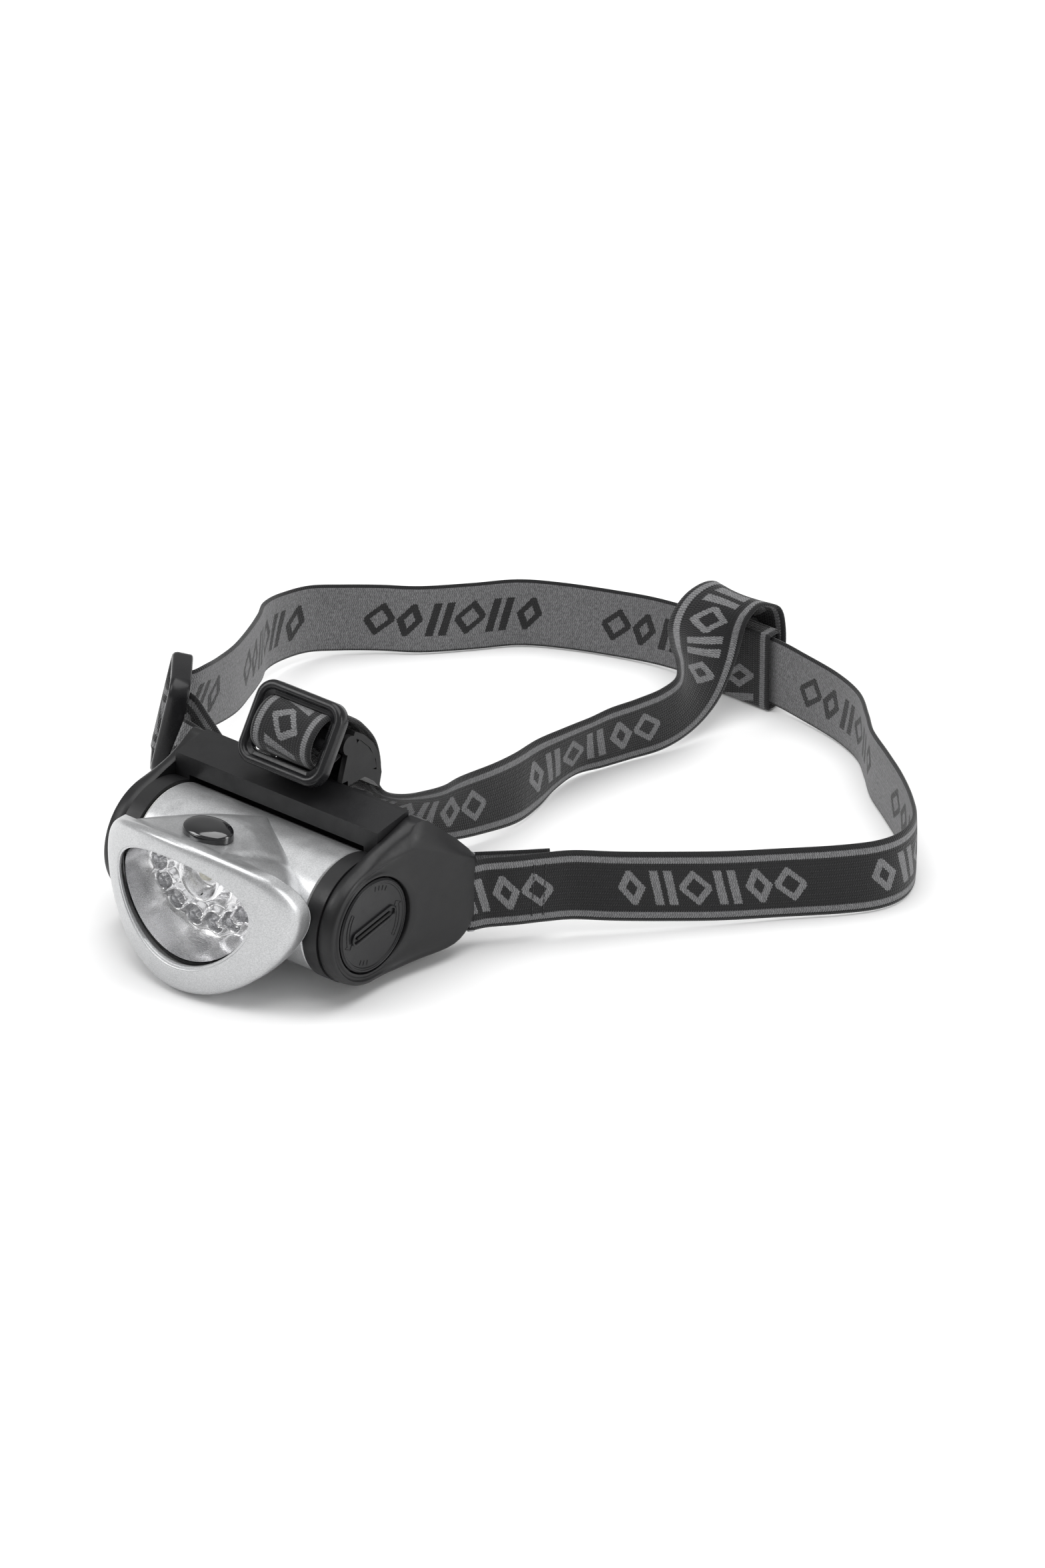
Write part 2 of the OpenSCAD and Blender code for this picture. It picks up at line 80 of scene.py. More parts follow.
class Sums:
    """Small helper that chains Math nodes."""

    def __init__(self, nodes, links):
        self.nodes, self.links = nodes, links

    def __call__(self, op, a, b=None, c=None):
        n = self.nodes.new("ShaderNodeMath")
        n.operation = op
        for i, v in enumerate((a, b, c)):
            if v is None:
                continue
            if isinstance(v, (int, float)):
                n.inputs[i].default_value = v
            else:
                self.links.new(v, n.inputs[i])
        return n.outputs[0]


def ramp(nodes, links, value, stops):
    r = nodes.new("ShaderNodeValToRGB")
    while len(r.color_ramp.elements) < len(stops):
        r.color_ramp.elements.new(0.5)
    for e, (p, c) in zip(r.color_ramp.elements, stops):
        e.position = p
        e.color = (*c, 1)
    links.new(value, r.inputs[0])
    return r.outputs[0]


def noise(nodes, links, scale, detail=3, rough=0.5, stretch=None):
    t = nodes.new("ShaderNodeTexCoord")
    out = t.outputs["Object"]
    if stretch:
        m = nodes.new("ShaderNodeMapping")
        m.inputs["Scale"].default_value = stretch
        links.new(out, m.inputs["Vector"])
        out = m.outputs[0]
    n = nodes.new("ShaderNodeTexNoise")
    n.inputs["Scale"].default_value = scale
    n.inputs["Detail"].default_value = detail
    n.inputs["Roughness"].default_value = rough
    links.new(out, n.inputs["Vector"])
    return n.outputs["Fac"]


def bump(nodes, links, bsdf, height, strength, distance):
    b = nodes.new("ShaderNodeBump")
    b.inputs["Strength"].default_value = strength
    b.inputs["Distance"].default_value = distance
    links.new(height, b.inputs["Height"])
    links.new(b.outputs[0], bsdf.inputs["Normal"])


def moulded(name, dark, light, rough, metal=0.0, grain=2600, depth=0.00004, strength=0.35, coat=0.0,
            spread=0.1):
    """Moulded or cast surface: slow colour drift, fine grain and uneven gloss."""
    m, nodes, links, bsdf = new_material(name)
    slow = noise(nodes, links, 55, 4)
    fine = noise(nodes, links, grain, 2, 0.6)
    links.new(ramp(nodes, links, slow, [(0.3, dark), (0.7, light)]), bsdf.inputs["Base Color"])
    lo, hi = max(rough - spread, 0.02), min(rough + spread, 1)
    links.new(ramp(nodes, links, noise(nodes, links, 160, 5, 0.7), [(0.3, (lo,) * 3), (0.75, (hi,) * 3)]),
              bsdf.inputs["Roughness"])
    bsdf.inputs["Metallic"].default_value = metal
    bsdf.inputs["Specular IOR Level"].default_value = 0.5 if max(light) > 0.05 or coat else 0.3
    bsdf.inputs["Coat Weight"].default_value = coat
    bsdf.inputs["Coat Roughness"].default_value = 0.12
    bump(nodes, links, bsdf, fine, strength, depth)
    return m


def pearl():
    """Silver pearl paint: fine bright flakes under a satin clear coat."""
    m, nodes, links, bsdf = new_material("silver_pearl_paint")
    t = nodes.new("ShaderNodeTexCoord")
    v = nodes.new("ShaderNodeTexVoronoi")
    v.inputs["Scale"].default_value = 5200
    links.new(t.outputs["Object"], v.inputs["Vector"])
    flakes = ramp(nodes, links, v.outputs["Color"],
                  [(0.15, (0.44, 0.445, 0.452)), (0.9, (0.60, 0.605, 0.612))])
    slow = ramp(nodes, links, noise(nodes, links, 40, 3), [(0.35, (0.93, 0.93, 0.93)), (0.65, (1, 1, 1))])
    mix = nodes.new("ShaderNodeMix")
    mix.data_type = "RGBA"
    mix.blend_type = "MULTIPLY"
    mix.inputs[0].default_value = 1.0
    links.new(flakes, mix.inputs[6])
    links.new(slow, mix.inputs[7])
    links.new(mix.outputs[2], bsdf.inputs["Base Color"])
    links.new(ramp(nodes, links, noise(nodes, links, 300, 4), [(0.3, (0.3,) * 3), (0.7, (0.4,) * 3)]),
              bsdf.inputs["Roughness"])
    bsdf.inputs["Metallic"].default_value = 0.72
    bsdf.inputs["Coat Weight"].default_value = 0.35
    bsdf.inputs["Coat Roughness"].default_value = 0.18
    bump(nodes, links, bsdf, noise(nodes, links, 3000, 2), 0.12, 0.00003)
    return m


def see_through(name, colour, alpha, rough=0.03):
    m, nodes, links, bsdf = new_material(name)
    links.new(ramp(nodes, links, noise(nodes, links, 90, 2),
                   [(0.3, colour), (0.7, tuple(min(1, c * 1.05) for c in colour))]),
              bsdf.inputs["Base Color"])
    bsdf.inputs["Roughness"].default_value = rough
    bsdf.inputs["IOR"].default_value = 1.5
    bsdf.inputs["Alpha"].default_value = alpha
    bsdf.inputs["Coat Weight"].default_value = 1.0
    bump(nodes, links, bsdf, noise(nodes, links, 400, 2), 0.05, 0.00003)
    return m


def webbing(name, ground, motif, striped=True, base_rough=0.85):
    """Woven elastic. UV u is millimetres along the strap, v millimetres across it from its middle."""
    m, nodes, links, bsdf = new_material(name)
    f = Sums(nodes, links)
    uv = nodes.new("ShaderNodeUVMap")
    uv.uv_map = "strap"
    sep = nodes.new("ShaderNodeSeparateXYZ")
    links.new(uv.outputs[0], sep.inputs[0])
    u, v = sep.outputs[0], sep.outputs[1]
    # yarn columns: ribs run along the strap, and each rib's loops slant left and right in turn
    rib = f("PINGPONG", v, 0.42)
    slant = f("MULTIPLY",
              f("SUBTRACT", f("MODULO", f("FLOOR", f("DIVIDE", f("ADD", v, 20), 0.84)), 2), 0.5), 0.9)
    row = f("ADD", u, f("MULTIPLY", rib, slant))
    loops = f("ABSOLUTE", f("SINE", f("MULTIPLY", row, math.pi / 0.62)))
    # ragged edge of the woven figures
    ragged = f("ADD", v, f("MULTIPLY", f("SUBTRACT", loops, 0.5), 0.34))
    side = f("ABSOLUTE", ragged)
    along = f("ADD", f("ADD", u, f("MULTIPLY", ragged, 0.28)), f("MULTIPLY", rib, 0.5))
    # stripes near both edges
    stripe = f("MULTIPLY", f("GREATER_THAN", side, 7.0 if striped else 30.0), f("LESS_THAN", side, 8.7))
    # figures: lozenges, slanted pairs of bars and crosses of points in turn
    cell = f("DIVIDE", along, 8.2)
    kind = f("FLOORED_MODULO", f("FLOOR", cell), 8)
    x = f("MULTIPLY", f("ABSOLUTE", f("SUBTRACT", f("FRACT", cell), 0.5)), 8.2)
    band = f("LESS_THAN", side, 4.9)
    loz = f("ADD", x, f("MULTIPLY", side, 0.62))
    lozenge = f("MULTIPLY", f("LESS_THAN", loz, 3.6), f("GREATER_THAN", loz, 1.5))
    bars = f("MULTIPLY", f("GREATER_THAN", x, 0.7), f("LESS_THAN", x, 2.9))
    steps = f("LESS_THAN", f("ABSOLUTE", f("SUBTRACT", f("ADD", x, f("MULTIPLY", side, 0.9)), 3.6)), 1.1)
    is_loz = f("ADD", f("COMPARE", kind, 0, 0.2), f("COMPARE", kind, 4, 0.2))
    is_bars = f("ADD", f("COMPARE", kind, 1, 0.2), f("COMPARE", kind, 3, 0.2))
    is_steps = f("ADD", f("COMPARE", kind, 2, 0.2), f("COMPARE", kind, 5, 0.2))
    pick = f("ADD", f("ADD", f("MULTIPLY", is_loz, lozenge), f("MULTIPLY", is_bars, bars)),
             f("MULTIPLY", is_steps, steps))
    figure = f("MAXIMUM", f("MULTIPLY", pick, band), stripe)
    selvedge = f("GREATER_THAN", f("ABSOLUTE", v), 9.25)
    figure = f("MULTIPLY", figure, f("SUBTRACT", 1, selvedge))
    mix = nodes.new("ShaderNodeMix")
    mix.data_type = "RGBA"
    links.new(figure, mix.inputs[0])
    speck = noise(nodes, links, 1500, 3, 0.7)
    lo = tuple(c * 0.55 for c in ground)
    hi = tuple(min(1, c * 1.35) for c in ground)
    links.new(ramp(nodes, links, speck, [(0.3, lo), (0.72, hi)]), mix.inputs[6])
    lo = tuple(c * 0.62 for c in motif)
    hi = tuple(min(1, c * 1.3) for c in motif)
    links.new(ramp(nodes, links, speck, [(0.3, lo), (0.72, hi)]), mix.inputs[7])
    edge = nodes.new("ShaderNodeMix")
    edge.data_type = "RGBA"
    links.new(selvedge, edge.inputs[0])
    links.new(mix.outputs[2], edge.inputs[6])
    edge.inputs[7].default_value = (0.012, 0.012, 0.013, 1)
    # painted shade: the gaps between the yarn loops are darkened towards 0.3 of the weave colour, standing
    # for shade in the weave
    painted_loop_shade = nodes.new("ShaderNodeMix")
    painted_loop_shade.data_type = "RGBA"
    painted_loop_shade.blend_type = "MULTIPLY"
    links.new(f("MULTIPLY", f("SUBTRACT", 1, loops), 0.75), painted_loop_shade.inputs[0])
    links.new(edge.outputs[2], painted_loop_shade.inputs[6])
    painted_loop_shade.inputs[7].default_value = (0.3, 0.3, 0.3, 1)
    links.new(painted_loop_shade.outputs[2], bsdf.inputs["Base Color"])
    bsdf.inputs["Roughness"].default_value = base_rough
    bsdf.inputs["Specular IOR Level"].default_value = 0.25
    bsdf.inputs["Sheen Weight"].default_value = 0.25
    bsdf.inputs["Sheen Roughness"].default_value = 0.5
    height = f("ADD", f("ADD", f("MULTIPLY", loops, 0.6), f("MULTIPLY", rib, -0.9)),
               f("MULTIPLY", figure, 0.35))
    bump(nodes, links, bsdf, height, 0.85, 0.00022)
    return m


def brushed(name, colour, rough=0.28):
    m, nodes, links, bsdf = new_material(name)
    streaks = noise(nodes, links, 500, 4, 0.6, (1, 14, 14))
    links.new(ramp(nodes, links, streaks, [(0.3, tuple(c * 0.8 for c in colour)), (0.7, colour)]),
              bsdf.inputs["Base Color"])
    links.new(ramp(nodes, links, streaks, [(0.3, (rough - 0.1,) * 3), (0.7, (rough + 0.12,) * 3)]),
              bsdf.inputs["Roughness"])
    bsdf.inputs["Metallic"].default_value = 1.0
    bump(nodes, links, bsdf, streaks, 0.2, 0.00002)
    return m


SILVER = pearl()
BLACK = moulded("black_satin_plastic", (0.010, 0.010, 0.011), (0.013, 0.013, 0.0135), 0.42, grain=1900,
                strength=0.4)
BUCKLE = moulded("black_buckle_plastic", (0.009, 0.009, 0.010), (0.016, 0.016, 0.017), 0.27, grain=900,
                 strength=0.3, spread=0.12)
CAP = moulded("black_cap_plastic", (0.008, 0.008, 0.009), (0.013, 0.013, 0.014), 0.36, grain=1200,
              strength=0.35)
GLOSS = moulded("black_gloss_button", (0.004, 0.004, 0.005), (0.008, 0.008, 0.009), 0.10, grain=500,
                strength=0.06, coat=1.0, spread=0.04)
FOAM = moulded("black_foam", (0.014, 0.014, 0.015), (0.03, 0.03, 0.032), 0.9, grain=1100, depth=0.0004,
               strength=0.9)
RUBBER = moulded("black_rubber", (0.01, 0.01, 0.01), (0.018, 0.018, 0.018), 0.6, grain=1500)
RED_RUBBER = moulded("red_seal_rubber", (0.25, 0.015, 0.012), (0.36, 0.025, 0.02), 0.55, grain=1500)
NYLON = moulded("white_nylon", (0.62, 0.62, 0.6), (0.74, 0.74, 0.72), 0.45, grain=1500)
BOARD = moulded("green_board_lacquer", (0.015, 0.10, 0.03), (0.03, 0.16, 0.05), 0.3, grain=700, coat=0.4)
WIRE = moulded("red_wire_sleeve", (0.30, 0.012, 0.012), (0.42, 0.02, 0.02), 0.4, grain=900)
CELL = moulded("cell_jacket", (0.20, 0.21, 0.23), (0.34, 0.35, 0.37), 0.3, metal=0.6, grain=900)
STEEL = brushed("plated_steel", (0.62, 0.62, 0.64))
BRASS = brushed("contact_brass", (0.72, 0.53, 0.24))
CHROME = brushed("mirror_chrome", (0.96, 0.96, 0.97), 0.22)
LENS = see_through("clear_lens_plastic", (0.02, 0.02, 0.022), 0.05)
EPOXY = see_through("clear_led_epoxy", (0.55, 0.56, 0.58), 0.22, 0.04)
WHITE = moulded("diode_phosphor", (0.82, 0.8, 0.66), (0.92, 0.9, 0.78), 0.35, grain=1200)
STRAP_OUT = webbing("webbing_outer_face", (0.009, 0.009, 0.010), (0.19, 0.19, 0.195))
STRAP_IN = webbing("webbing_inner_face", (0.2, 0.2, 0.205), (0.016, 0.016, 0.017), False)
THREAD = moulded("black_thread", (0.015, 0.015, 0.016), (0.05, 0.05, 0.052), 0.8, grain=5000)


# ---------------------------------------------------------------- mesh helpers
def piece(name, verts, faces, mats, body, nodes=(), uv=None, face_mats=None, smooth=True,
          flat_angle=None):
    me = bpy.data.meshes.new(name)
    me.from_pydata([tuple(p) for p in world(verts)], [], [tuple(f) for f in faces])
    for m in mats if isinstance(mats, (list, tuple)) else [mats]:
        me.materials.append(m)
    if face_mats is not None:
        me.polygons.foreach_set("material_index", face_mats)
    if uv is not None:
        layer = me.uv_layers.new(name="strap")
        idx = np.zeros(len(me.loops), int)
        me.loops.foreach_get("vertex_index", idx)
        layer.data.foreach_set("uv", np.asarray(uv, float)[idx].ravel())
    me.polygons.foreach_set("use_smooth", [smooth] * len(me.polygons))
    ob = bpy.data.objects.new(name, me)
    bpy.context.scene.collection.objects.link(ob)
    if uv is None:
        bm = bmesh.new()
        bm.from_mesh(me)
        bmesh.ops.remove_doubles(bm, verts=bm.verts, dist=1e-6)
        bmesh.ops.recalc_face_normals(bm, faces=bm.faces)
        bm.to_mesh(me)
        bm.free()
    if flat_angle:
        me.set_sharp_from_angle(angle=math.radians(flat_angle))
    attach(ob, body)
    if nodes:
        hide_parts(*nodes)
    return ob


def loft(rings, closed=False, caps=True):
    """Quads over rings of equal length. closed joins the last ring to the first."""
    rings = np.asarray(rings, float)
    m, n = rings.shape[:2]
    faces = []
    for k in range(m if closed else m - 1):
        a, b = k * n, (k + 1) % m * n
        faces += [(a + i, a + (i + 1) % n, b + (i + 1) % n, b + i) for i in range(n)]
    if caps and not closed:
        faces += [tuple(range(n - 1, -1, -1)), tuple((m - 1) * n + i for i in range(n))]
    return rings.reshape(-1, 3), faces


def join(*parts):
    verts, faces, base = [], [], 0
    for v, f in parts:
        verts.append(np.asarray(v, float))
        faces += [tuple(i + base for i in q) for q in f]
        base += len(v)
    return np.concatenate(verts), faces


def smooth_path(points, per=8):
    """Catmull-Rom curve through points, per steps for each span."""
    p = np.asarray(points, float)
    p = np.vstack([2 * p[0] - p[1], p, 2 * p[-1] - p[-2]])
    out = []
    for i in range(1, len(p) - 2):
        for j in range(per):
            t = j / per
            out.append(0.5 * (2 * p[i] + (p[i + 1] - p[i - 1]) * t
                              + (2 * p[i - 1] - 5 * p[i] + 4 * p[i + 1] - p[i + 2]) * t * t
                              + (3 * p[i] - p[i - 1] - 3 * p[i + 1] + p[i + 2]) * t ** 3))
    out.append(p[-2])
    return np.array(out)


def rod(a, b, r, n=10, round_ends=True):
    """A thin rod with rounded ends."""
    a, b = np.asarray(a, float), np.asarray(b, float)
    d = (b - a) / np.linalg.norm(b - a)
    s = np.cross(d, [0, 0, 1] if abs(d[2]) < 0.9 else [1, 0, 0])
    s /= np.linalg.norm(s)
    t = np.cross(d, s)
    ring = np.array([s * math.cos(q) + t * math.sin(q)
                     for q in np.linspace(0, 2 * math.pi, n, endpoint=False)])
    steps = [(0, 0.15), (0.25, 0.7), (0.7, 1)] if round_ends else [(0, 1)]
    rings = ([a + d * r * g + ring * r * k for g, k in steps]
             + [b - d * r * g + ring * r * k for g, k in steps[::-1]])
    return loft(rings)


def dress(name, mat, body, width=0.35, segments=3, angle=30, reshape=None):
    """A CAD node's shape with rounded edges, standing for that node."""
    src = frame["nodes"][name]
    me = src.data.copy()
    me.name = name + "_moulding"
    me.materials.clear()
    me.materials.append(mat)
    if reshape:
        co = np.array([v.co for v in me.vertices], float) * 1000 - SHIFT
        me.vertices.foreach_set("co", world(reshape(co)).astype(np.float32).ravel())
    bm = bmesh.new()
    bm.from_mesh(me)
    bmesh.ops.remove_doubles(bm, verts=bm.verts, dist=2e-6)
    bmesh.ops.dissolve_limit(bm, angle_limit=math.radians(1.0), verts=bm.verts, edges=bm.edges)
    bm.to_mesh(me)
    bm.free()
    me.polygons.foreach_set("use_smooth", [True] * len(me.polygons))
    me.set_sharp_from_angle(angle=math.radians(angle))
    ob = bpy.data.objects.new(name + "_moulding", me)
    bpy.context.scene.collection.objects.link(ob)
    if width:
        mod = ob.modifiers.new("edge", "BEVEL")
        mod.width = width / 1000
        mod.segments = segments
        mod.limit_method = "ANGLE"
        mod.angle_limit = math.radians(angle)
        mod.harden_normals = True
        mod.use_clamp_overlap = True
    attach(ob, body)
    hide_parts(name)
    return ob


# ---------------------------------------------------------------- lamp head
FULL, FACE_Y, SEAM_Y = 0.19, -33.0, -25.2
HW, HH, WHW, WHH = 31.0, 22.2, 21.3, 15.0
BZ = 0.25 + HH
WZ = BZ + 1.4
N = 144
T = np.linspace(0, 2 * math.pi, N, endpoint=False)


def depth(x, g):
    return FACE_Y + x * x / 100 + g * (SEAM_Y + 7.5 * (x / 30) ** 4 - FACE_Y - x * x / 100)


def flatten(x, z, g):
    """The top of the shell falls away from the rim towards the seam."""
    dip = 3.3 * np.clip(1 - (x / 25) ** 2, 0, 1) ** 0.8
    return z - g ** 1.3 * dip * np.clip((z - 30) / 12, 0, 1)


def face_ring(s, g, shrink=1.0, out=0.0):
    x = (shrink * (HW + s * (WHW - HW)) + out) * np.cos(T) * (1 + FULL * np.sin(T))
    z = BZ + s * (WZ - BZ) + (shrink * (HH + s * (WHH - HH)) + out) * np.sin(T)
    return np.stack([x, depth(x, g), flatten(x, z, g)], 1)


outside = smooth_path([[0, 1], [0, 0.72], [0.005, 0.5], [0.03, 0.34], [0.1, 0.2], [0.24, 0.09], [0.5, 0.025],
                       [0.8, 0.0]], 5)
profile = [(0.005, 1.0)] + [tuple(p) for p in outside]
profile += [(0.86, 0.0), (0.905, 0.004), (0.925, 0.02), (0.935, 0.045), (0.955, 0.05), (0.985, 0.052),
            (1.0, 0.07), (1.0, 0.2), (0.86, 0.2), (0.86, 0.52), (0.12, 0.52), (0.08, 0.6), (0.06, 1.0)]
v, f = loft([face_ring(s, g) for s, g in profile], closed=True)
piece("bezel_shell", v, f, SILVER, "lamp_head", ["bezel"], flat_angle=50)

rings = [face_ring(0.88, 0.30 - 0.09 * (1 - k * k) ** 0.5, k) for k in np.linspace(0.02, 0.985, 26)]
rings += [face_ring(0.88, 0.36, k) for k in (1.0, 0.97, 0.6, 0.02)]
v, f = loft(rings)
piece("window_lens", v, f, LENS, "lamp_head", ["lens"], flat_angle=50)


def hood_ring(q, inset=0.0):
    blend = min(1.0, q / 0.05)
    hw = (HW * (1 - blend) + 28.4 * math.sqrt(1 - q * q) * blend) - inset
    top = 2 * HH + 0.1 - 8.8 * q ** 1.1
    low = 0.35 + 4.4 * q + inset
    x = hw * np.cos(T) * (1 + FULL * (1 - q) * np.sin(T))
    y = SEAM_Y + 0.15 + 28.5 * q + 7.5 * (x / 30) ** 4 * (1 - q)
    z = (top + low) / 2 + (top - low) / 2 * np.sin(T)
    z = flatten(x, z, max(0, 1 - q * 1.5))
    # shallow dish round the push button, and a soft crease beside it
    upper = z > 30
    d = np.sqrt((x / 7.4) ** 2 + ((y - BUTTON_Y) / 5.3) ** 2)
    z = z - 0.9 * np.clip(1.9 - d, 0, 0.9) / 0.9 * upper
    crease = np.clip(1 - np.abs(x - 15 - 0.5 * (y + 18)) / 3.0, 0, 1) ** 1.5 * upper
    z = z - 0.8 * crease * (1 - q) * min(1, q * 8)
    return np.stack([x, y, z], 1)


qs = np.concatenate([[0, 0.004, 0.012, 0.025, 0.04], np.linspace(0.06, 0.985, 62)])
hood = loft([hood_ring(0.5, 1.5) * np.array([1, 1, 0.96])] + [hood_ring(0.02, 1.6)]
            + [hood_ring(q) for q in qs], caps=False)
arc = np.radians(np.linspace(66, 294, 90))
barrel_rings = []
for x, r in [(-27.1, 14.7), (-28.6, 14.7), (-28.6, 15.9), (-28.3, 16.2), (28.3, 16.2), (28.6, 15.9),
             (28.6, 14.7), (27.1, 14.7)]:
    barrel_rings.append(np.stack([np.full(90, x), r * np.cos(arc), AXIS_Z + r * np.sin(arc)], 1))
bv = np.concatenate(barrel_rings)
bf = [(k * 90 + i, k * 90 + i + 1, (k + 1) % 8 * 90 + i + 1, (k + 1) % 8 * 90 + i)
      for k in range(8) for i in range(89)]
v, f = join(hood, (bv, bf))
piece("front_shell", v, f, SILVER, "lamp_head", ["front_housing"], flat_angle=40)
dress("rear_housing", SILVER, "lamp_head", 0.3)


# reflector: a smooth bowl whose floor carries a collar round every diode
def led_spot(i):
    t = math.radians(2 + i * 176 / (LED_COUNT - 1))
    return 15.2 * math.cos(t), WZ + 4.8 - 12.4 * math.sin(t)


SPOTS = [led_spot(i) for i in range(LED_COUNT)]
MAIN = (0.0, WZ + 5.2)


def bowl_point(k, t):
    k1 = min(k / 0.35, 1.0)
    scale = 1.0 if k <= 0.35 else 1 - (k - 0.35) / 0.65 * 0.985
    hw = (WHW - 2.6 * k1 ** 1.6 - 0.3) * scale
    hh = (WHH - 4 * k1 ** 1.6 - 0.3) * scale
    x = hw * math.cos(t) * (1 + FULL * math.sin(t))
    z = WZ + hh * math.sin(t)
    rim = depth((WHW - 0.3) * math.cos(t) * (1 + FULL * math.sin(t)), 0.45)
    y = rim + (1 - (1 - k1) ** 1.7) * (-18.5 - rim)
    if k1 >= 0.6:
        w = min(1, (k1 - 0.6) / 0.4)
        for sx, sz in SPOTS:
            d = math.hypot(x - sx, z - sz)
            y -= w * 2.1 * math.exp(-((d - 3.05) / 0.62) ** 2)
        d = math.hypot(x - MAIN[0], z - MAIN[1])
        y -= w * 4.2 * math.exp(-((d - 6.2) / 1.5) ** 2)
    return x, y, z


ks = np.concatenate([np.linspace(0, 0.35, 14), np.linspace(0.37, 1, 56)])
v, f = loft([[bowl_point(k, t) for t in np.linspace(0, 2 * math.pi, 168, endpoint=False)] for k in ks],
            caps=False)
piece("reflector_bowl", v, f, CHROME, "lamp_head", ["reflector"])


def bulb(at, r, tip, back=-16.5):
    """Clear diode body: a straight barrel with a domed front that points to -Y."""
    angles = np.linspace(0, 2 * math.pi, 28, endpoint=False)
    prof = [(back, 0.9), (back, 1.16), (back - 0.9, 1.16), (back - 1.0, 1.0)]
    prof += [(tip + r - r * math.sin(a), math.cos(a)) for a in np.linspace(0.0, math.pi / 2 - 0.05, 12)]
    return loft([[(at[0] + r * k * math.cos(a), y, at[1] + r * k * math.sin(a)) for a in angles]
                 for y, k in prof])


bulbs = [bulb(s, 2.15, -22.6) for s in SPOTS]
v, f = join(*bulbs)
piece("diode_domes", v, f, EPOXY, "lamp_head", ["small_leds"])
inner = []
for sx, sz in SPOTS:
    inner += [rod((sx - 0.5, -16.6, sz), (sx - 0.5, -20.4, sz), 0.32),
              rod((sx + 0.7, -16.6, sz), (sx + 0.7, -20.0, sz), 0.25)]
    cup = [(sx - 0.5 + r * math.cos(a), y, sz + r * math.sin(a)) for y, r in
           [(-19.6, 0.3), (-20.5, 1.0), (-20.9, 1.15), (-20.4, 0.75)]
           for a in np.linspace(0, 2 * math.pi, 14, endpoint=False)]
    inner.append(loft(np.array(cup).reshape(4, 14, 3)))
v, f = join(*inner)
piece("diode_lead_frames", v, f, STEEL, "lamp_head")
v, f = bulb(MAIN, 3.0, -23.4)
piece("main_diode_dome", v, f, EPOXY, "lamp_head", ["main_led"])
v, f = bulb(MAIN, 2.1, -21.0)
piece("main_diode_die", v, f, WHITE, "lamp_head")

# push button: a straight skirt under a domed top
bt = np.linspace(0, 2 * math.pi, 72, endpoint=False)


def button_ring(k, z):
    return np.stack([7.3 * k * np.cos(bt), BUTTON_Y + 5.2 * k * np.sin(bt), np.full(72, z)], 1)


prof = [(1, BUTTON_Z), (1, 41.3)]
prof += [(math.cos(a) ** 0.62, 41.3 + 1.6 * math.sin(a)) for a in np.linspace(0.12, 1.53, 14)]
v, f = loft([button_ring(k, z) for k, z in prof])
piece("button_dome", v, f, GLOSS, "button", ["power_button"], flat_angle=60)

# battery cap: recessed face, coin slot, turn marks
cap_turns = np.linspace(0, 2 * math.pi, 96, endpoint=False)


def disc_ring(x, r):
    return np.stack([np.full(96, x), r * np.cos(cap_turns), AXIS_Z + r * np.sin(cap_turns)], 1)


DISC_PROFILE = ((31.4, 8.6), (31.4, 11.5), (36.8, 11.5), (36.8, 12.3), (37.0, 12.5), (38.3, 12.5),
                (38.6, 12.2), (38.6, 11.3), (38.35, 11.1), (38.3, 10.8), (38.3, 0.4))
v, f = loft([disc_ring(x, r) for x, r in DISC_PROFILE])
slot_turn = math.radians(10)
slot_dir = np.array([0, math.cos(slot_turn), math.sin(slot_turn)])
slot_up = np.array([0, -math.sin(slot_turn), math.cos(slot_turn)])
ends = []
for k, x in ((1.0, 38.2), (1.0, 38.75), (0.86, 38.9), (0.62, 38.9), (0.5, 38.6), (0.5, 37.2), (0.02, 37.2)):
    half_l, half_w = 8.4 * (0.86 + 0.14 * k), 1.9 * k
    ends.append([np.array([x, 0, AXIS_Z])
                 + slot_dir * (half_l - half_w + half_w * abs(math.cos(a))) * math.copysign(1, math.cos(a))
                 + slot_up * half_w * math.sin(a)
                 for a in np.linspace(0.03, 2 * math.pi + 0.03, 40, endpoint=False)])
v2, f2 = loft(ends)
v, f = join((v, f), (v2, f2))
piece("cap_disc", v, f, CAP, "cap", ["battery_cap"], flat_angle=40)
v, f = join(rod((38.62, 0, AXIS_Z) - slot_dir * 6.6, (38.62, 0, AXIS_Z) + slot_dir * 6.6, 0.42, 8))
piece("coin_slot_shadow", v, f, RUBBER, "cap")
marks = []


def on_cap(r, deg, out=38.32):
    a = math.radians(deg)
    return (out, r * math.cos(a), AXIS_Z + r * math.sin(a))


CAP_RIM_R = 11.9
ring = [[on_cap(CAP_RIM_R + dr, a, 38.55 + dx) for dr, dx in ((-0.3, 0), (-0.15, 0.2), (0.15, 0.2), (0.3, 0))]
        for a in np.linspace(0, 360, 96, endpoint=False)]
marks.append(loft(ring, closed=True))
for start, stop in ((142, 192), (322, 372)):
    for r in (8.9, 10.0):
        for a in np.arange(start, stop, 5.0):
            marks.append(rod(on_cap(r, a), on_cap(r, a + 5.2), 0.12, 6))
    marks.append(rod(on_cap(8.9, start), on_cap(10.0, start), 0.12, 6))
    marks.append(rod(on_cap(8.9, stop), on_cap(8.0, stop), 0.12, 6))
    marks.append(rod(on_cap(10.0, stop), on_cap(10.9, stop), 0.12, 6))
    marks.append(rod(on_cap(8.0, stop), on_cap(9.45, stop + 9), 0.12, 6))
    marks.append(rod(on_cap(10.9, stop), on_cap(9.45, stop + 9), 0.12, 6))
for a in (60, 68, 76, 84, 240, 248, 256):
    marks.append(rod(on_cap(9.2, a), on_cap(10.6, a), 0.13, 6))
v, f = join(*marks)
piece("cap_relief_marks", v, f, CAP, "cap")
dress("left_pivot_cap", CAP, "lamp_head", 0.3)

